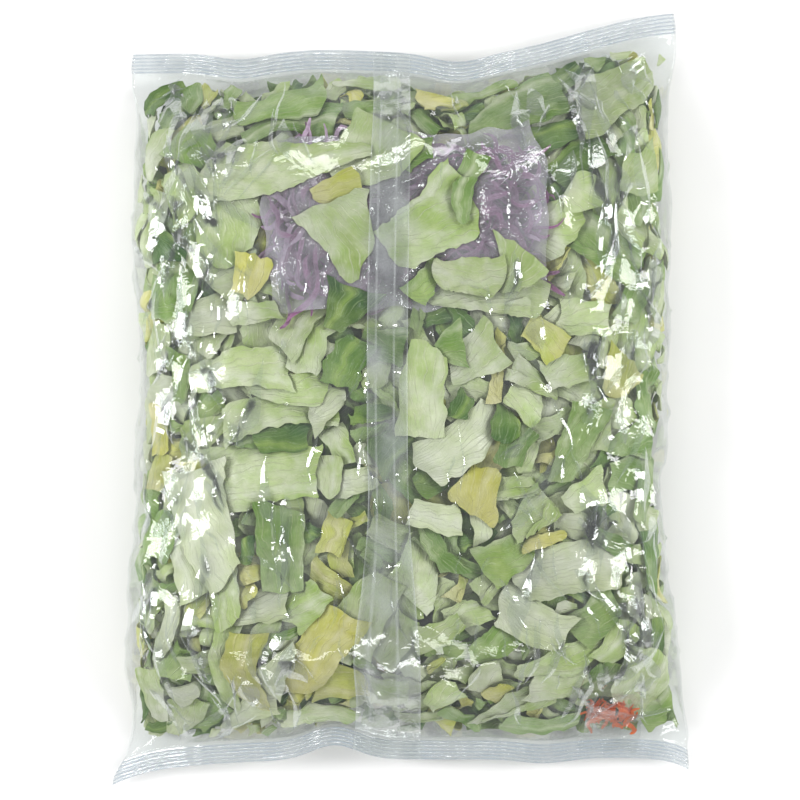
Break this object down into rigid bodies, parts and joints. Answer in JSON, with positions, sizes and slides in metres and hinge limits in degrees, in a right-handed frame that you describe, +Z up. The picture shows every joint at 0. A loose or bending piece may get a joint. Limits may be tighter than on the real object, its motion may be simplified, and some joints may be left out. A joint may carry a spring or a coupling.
{
  "type": "bag of salad leaves",
  "caption": "Clear sealed pillow bag of chopped salad leaves with a small pouch of red cabbage and one of carrot, lying flat with its long seam up.",
  "frame": {"origin": "centre of the base of the object's box, on the surface that the bag lies on", "axes": "+Z up through the side shown, +Y along the bag towards its top seal, +X across the bag to the right"},
  "size_m": [0.3536, 0.4732, 0.0836],
  "materials": {
    "film": "thin clear film, glossy and a little milky, over pale green leaves",
    "leaves": "moist chopped lettuce, white ribs to dark green blades",
    "red_cabbage": "moist shredded red cabbage, purple skins with pale flesh",
    "carrot": "moist shredded carrot"
  },
  "bodies": {
    "root": {"salad_bag": "film"}
  },
  "joints": []
}
